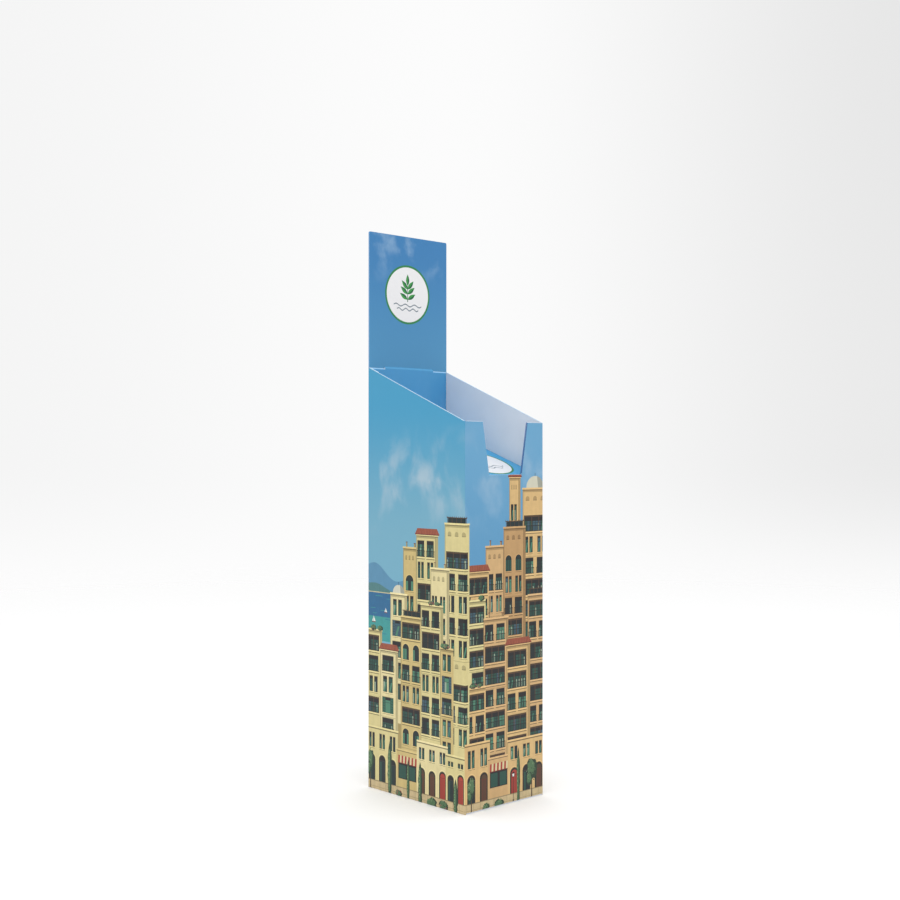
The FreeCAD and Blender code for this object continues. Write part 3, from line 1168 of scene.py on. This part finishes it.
# whether an even tone is large and plain enough to hide the fine print behind it
def hides(ink, outline):
    across = [max(places) - min(places) for places in zip(*outline)]
    return not ink.endswith(("Pale", "Deep", "Shade")) and min(across) > 4.5


# the fine print lies over it, cut away where a nearer house hides it, a piece to each wall
fine = [item for item in town if inks[item[0]]["layer"] == "crisp" or hides(*item)]
spots, covering = flatLayer(sleeveBlank(), [notchHole()], fine, sleeveCreases(), "sky")
for name, start, end in (("leftWallPrint", -10, turns[0]), ("frontWallPrint", turns[0], turns[1]),
                         ("rightWallPrint", turns[1], turns[2]), ("backWallPrint", turns[2], 1400)):
    chosen = []
    for triangle, ink in covering:
        middle = sum(spots[corner].x for corner in triangle) / 3
        if inks[ink]["layer"] == "crisp" and start <= middle < end:
            chosen.append((triangle, ink))
    columnPieces.append(buildPrintPiece(name, spots, chosen, sleevePlace, inks, printing["fineProud"]))


# the second sheet, seated in the column, in millimetres
insert = {
    "headerTop": 1578.0,
    "headerCorner": 4.0,
    "neckHalf": 93.0,
    "shoulderIn": 93.8,
    "halfWidth": 146.0,
    "liningTop": 1187.0,
    "headerFace": 195.0,
    "stepTop": 1196.3,      # above it the neck lies in the header's plane
    "trayAngle": 19.5,
    "lapReach": 32.6,       # its left edge is cut back this far round the column's lap
    # its printed face seen from the side: place back, height and radius of each fold
    "face": [(195.0, 1196.3), (195.0, 1194.521, 0.6), (192.0, 1191.521, 3.6), (192.0, 1019.544, 0.6),
             (-194.0, 882.854, 3.6), (-194.0, 850.0)],
}

insertInks = {
    "header": skyInk((60, 125, 179), (79, 145, 188), (158, 188, 214), (1.19, 1.56),
                     (1.59, 0.16, 0.8), Stretch=(12, 12, 11), Shift=(1.0, 0.0, 0.0)),
    "lining": skyInk((76, 153, 203), (72, 165, 212), (150, 190, 220), (0.9, 1.1), (1.0, 0.2, 0.2)),
    "liningStep": tone((80, 158, 206), 0.06),
}


def headerPlace(point):
    return Vector((point[0], insert["headerFace"], point[1])), Vector((0, -1, 0))


def headerOutline():
    edge = printing["edgeMargin"]
    half, corner, top = column["width"] / 2 - edge, insert["headerCorner"], insert["headerTop"] - edge
    foot, step, shoulder = column["backHeight"] + edge, insert["stepTop"], insert["shoulderIn"]
    outline = [(-half, foot), (-shoulder, foot), (-shoulder, step)]
    outline += [(shoulder, step), (shoulder, foot), (half, foot)]
    for side, first in ((1, 0), (-1, 90)):
        for part in range(6):
            angle = math.radians(first + 18 * part)
            outline.append((side * (half - corner) + corner * math.cos(angle),
                            top - corner + corner * math.sin(angle)))
    return outline


liningLine, liningStarts = foldedLine(insert["face"])


# the lining and tray are laid out with the header's end up, so distances run downwards
def liningPlace(point):
    spot, outward = liningLine(-point[1])
    return Vector((point[0], spot.x, spot.y)), Vector((0, outward.x, outward.y))


def liningOutline():
    neck, half = insert["neckHalf"], insert["halfWidth"] - printing["edgeMargin"]
    relief, bend = column["board"] - half, insert["face"][2]
    reach = bend[2] * math.tan(math.radians(45 / 2))
    slit = -(liningStarts[4] + bend[1] - reach - insert["liningTop"])
    lapEnd = -(liningStarts[6] + insert["lapReach"] / math.cos(math.radians(insert["trayAngle"])))
    end = -liningStarts[-1]
    return [(neck, 0), (-neck, 0), (-neck, slit), (relief, slit), (relief, lapEnd), (-half, lapEnd),
            (-half, end), (half, end), (half, slit), (neck, slit)]


# the step over the back wall's edge catches the light, so its print is held back
def stepArea():
    neck, foot = insert["neckHalf"] + 1, -liningStarts[4]
    return [("liningStep", [(-neck, foot), (neck, foot), (neck, 1.0), (-neck, 1.0)])]


def liningCreases():
    return [((-160.0, -stop), (160.0, -stop)) for stop in foldStops(liningStarts, 3)]


insertPieces = (
    ("headerPrint", headerOutline(), [], [], headerPlace, "header"),
    ("liningPrint", liningOutline(), stepArea(), liningCreases(), liningPlace, "lining"),
)
for name, outline, areas, creases, place, base in insertPieces:
    spots, covering = flatLayer(outline, [], areas, creases, base)
    piece = buildPrintPiece(name, spots, covering, place, insertInks, printing["proud"])


# a plain round device: a sprig over two bands of water
device = {
    "radius": 86.0,
    "rim": 6.0,
    "headerSpot": (-5.0, 1409.0),
    "traySpot": (15.0, 119.0),   # across, and up the slope from the tray's front
    "trayRadius": 101.0,
}

deviceInks = {
    "discWhite": crisp((234, 233, 234)),
    "rimGreen": crisp((48, 128, 76)),
    "leafGreen": crisp((64, 152, 74)),
    "leafDeep": crisp((34, 104, 60)),
    "waterGrey": crisp((120, 132, 140)),
}


def ringOutline(middle, radius):
    outline = []
    parts = 64
    for part in range(parts):
        angle = 2 * math.pi * part / parts
        outline.append((middle[0] + radius * math.cos(angle), middle[1] + radius * math.sin(angle)))
    return outline


# a leaf's whole outline and its shaded half
def leafShape(foot, length, width, lean):
    edge = []
    for step in range(9):
        part = step / 8
        edge.append((width * math.sin(math.pi * part) * (1 - 0.35 * part), length * part))
    turned = []
    for x, y in edge + [(-x, y) for x, y in reversed(edge[1:-1])]:
        turned.append((foot[0] + x * math.cos(lean) - y * math.sin(lean),
                       foot[1] + x * math.sin(lean) + y * math.cos(lean)))
    return turned, turned[:len(edge)]


def deviceAreas(middle, radius):
    scale = radius / 100
    areas = [("rimGreen", ringOutline(middle, radius)),
             ("discWhite", ringOutline(middle, radius - device["rim"]))]

    def spot(x, y):
        return (middle[0] + x * scale, middle[1] + y * scale)

    for level, reach in ((-34, 62), (-48, 48)):
        wave = []
        for steps, drop in ((range(25), 0), (range(24, -1, -1), 4)):
            for step in steps:
                height = level - drop + 4 * math.sin(step * math.pi / 4)
                wave.append(spot(-reach + 2 * reach * step / 24, height))
        areas.append(("waterGrey", wave))
    areas.append(("leafDeep", [spot(-1.6, -24), spot(1.6, -24), spot(1.0, 34), spot(-1.0, 34)]))
    for height, lean in ((-16, 1.05), (2, 0.9), (18, 0.72), (30, 0.0)):
        for hand in ((-1, 1) if lean else (1,)):
            whole, half = leafShape(spot(0, height), 40 * scale, 9 * scale, lean * hand)
            areas.append(("leafGreen", whole))
            areas.append(("leafDeep", half))
    return areas


def addDevice(name, middle, radius, place):
    areas = deviceAreas(middle, radius)
    spots, covering = flatLayer(ringOutline(middle, radius), [], areas, [], "rimGreen")
    piece = buildPrintPiece(name, spots, covering, place, deviceInks, printing["fineProud"])


addDevice("headerDevice", device["headerSpot"], device["radius"], headerPlace)
trayFoot = -(liningStarts[7] - device["traySpot"][1])
addDevice("trayDevice", (device["traySpot"][0], trayFoot), device["trayRadius"], liningPlace)
print("devices printed")


# fitted to the photo's straight edges
photoCamera = {
    "lens": 51.21,
    "sensor": 36,
    "place": (-2.4690, -2.6129, 0.9384),
    "heading": (0.6841, 0.7294),
    "pitch": 0.277,         # degrees above level
    "clip": 60,
}

studio = {
    "floorReach": 30.0,
    "floorDrop": 0.0002,
    "floorColour": (250, 250, 250),
    "floorRoughness": 0.9,
    "floorGlow": 0.1,
    "fadeFrom": 2.4,        # the floor fades into the backdrop between these distances
    "fadeTo": 8.0,
    "level": 0.972,         # the backdrop's brightness, before it falls off
    "across": (0.7296, 0.6839),     # the picture's rightward direction, as x and minus y
    "sideReach": 0.36,      # how far to either side the backdrop goes on darkening
    "highFrom": 0.02,
    "highTo": 0.34,
    "lowTo": -0.13,         # it evens out and brightens from the horizon down to here
    "lowLift": 0.02,
    "rightFall": 0.15,
    "cornerFall": 0.03,
    "leftFall": 0.06,
    "keyPower": 60.0,
    "keySize": 3.4,
    "keyPlace": (0.1, -0.4, 4.4),
    "keyAim": (0, 0, 0.7),
}


def buildCamera():
    data = bpy.data.cameras.new("photoCamera")
    data.lens = photoCamera["lens"]
    data.sensor_width = photoCamera["sensor"]
    data.clip_end = photoCamera["clip"]
    camera = bpy.data.objects.new("photoCamera", data)
    bpy.context.scene.collection.objects.link(camera)
    camera.location = photoCamera["place"]
    aim = Vector((*photoCamera["heading"], math.tan(math.radians(photoCamera["pitch"]))))
    camera.rotation_euler = aim.to_track_quat("-Z", "Y").to_euler()
    bpy.context.scene.camera = camera


def buildFloor():
    bpy.ops.object.select_all(action="DESELECT")
    bpy.ops.mesh.primitive_circle_add(vertices=96, radius=studio["floorReach"], fill_type="NGON",
                                      location=(0, 0, -studio["floorDrop"]))
    floor = bpy.context.object
    floor.name = "studioFloor"
    material, tree, shader = newMaterial("studioPaper")
    feed(tree, shader, {
        "Base Color": linear(studio["floorColour"]),
        "Roughness": studio["floorRoughness"],
        "Specular IOR Level": 0.0,
        "Emission Color": (1, 1, 1, 1),
        "Emission Strength": studio["floorGlow"],
    })
    place = addNode(tree, "ShaderNodeTexCoord").outputs["Object"]
    distance = vectorNode(tree, "LENGTH", {0: place}, "Value")
    fade = eased(tree, distance, studio["fadeFrom"], studio["fadeTo"])
    clear = addNode(tree, "ShaderNodeBsdfTransparent").outputs[0]
    mixed = addNode(tree, "ShaderNodeMixShader", {0: fade, 1: shader.outputs[0], 2: clear})
    feed(tree, tree.nodes["Material Output"], {"Surface": mixed.outputs[0]})
    floor.data.materials.append(material)


# even light all round, a little darker towards the upper right of the picture
def buildBackdrop():
    world = bpy.data.worlds.new("studioLight")
    bpy.context.scene.world = world
    world.use_nodes = True
    tree = world.node_tree
    x, y, height = axesOf(tree, addNode(tree, "ShaderNodeTexCoord").outputs["Generated"])
    aside = minus(tree, times(tree, x, studio["across"][0]), times(tree, y, studio["across"][1]))
    right = eased(tree, aside, 0.0, studio["sideReach"])
    left = eased(tree, aside, 0.0, -studio["sideReach"])
    high = eased(tree, height, studio["highFrom"], studio["highTo"])
    low = eased(tree, height, 0.0, studio["lowTo"])
    corner = times(tree, times(tree, right, high), studio["cornerFall"])
    falls = plus(tree, times(tree, right, studio["rightFall"]), corner)
    falls = plus(tree, falls, times(tree, left, studio["leftFall"]))
    strength = minus(tree, studio["level"], times(tree, falls, minus(tree, 1.0, low)))
    strength = plus(tree, strength, times(tree, low, studio["lowLift"]))
    feed(tree, tree.nodes["Background"], {"Strength": strength, "Color": (1, 1, 1, 1)})


def buildKey():
    bpy.ops.object.light_add(type="AREA", location=studio["keyPlace"])
    lamp = bpy.context.object
    lamp.name = "keyLight"
    lamp.data.energy = studio["keyPower"]
    lamp.data.size = studio["keySize"]
    aim = Vector(studio["keyAim"]) - lamp.location
    lamp.rotation_euler = aim.to_track_quat("-Z", "Y").to_euler()


buildCamera()
buildFloor()
buildBackdrop()
buildKey()
bpy.context.scene.view_settings.view_transform = "Standard"
print("studio ready")
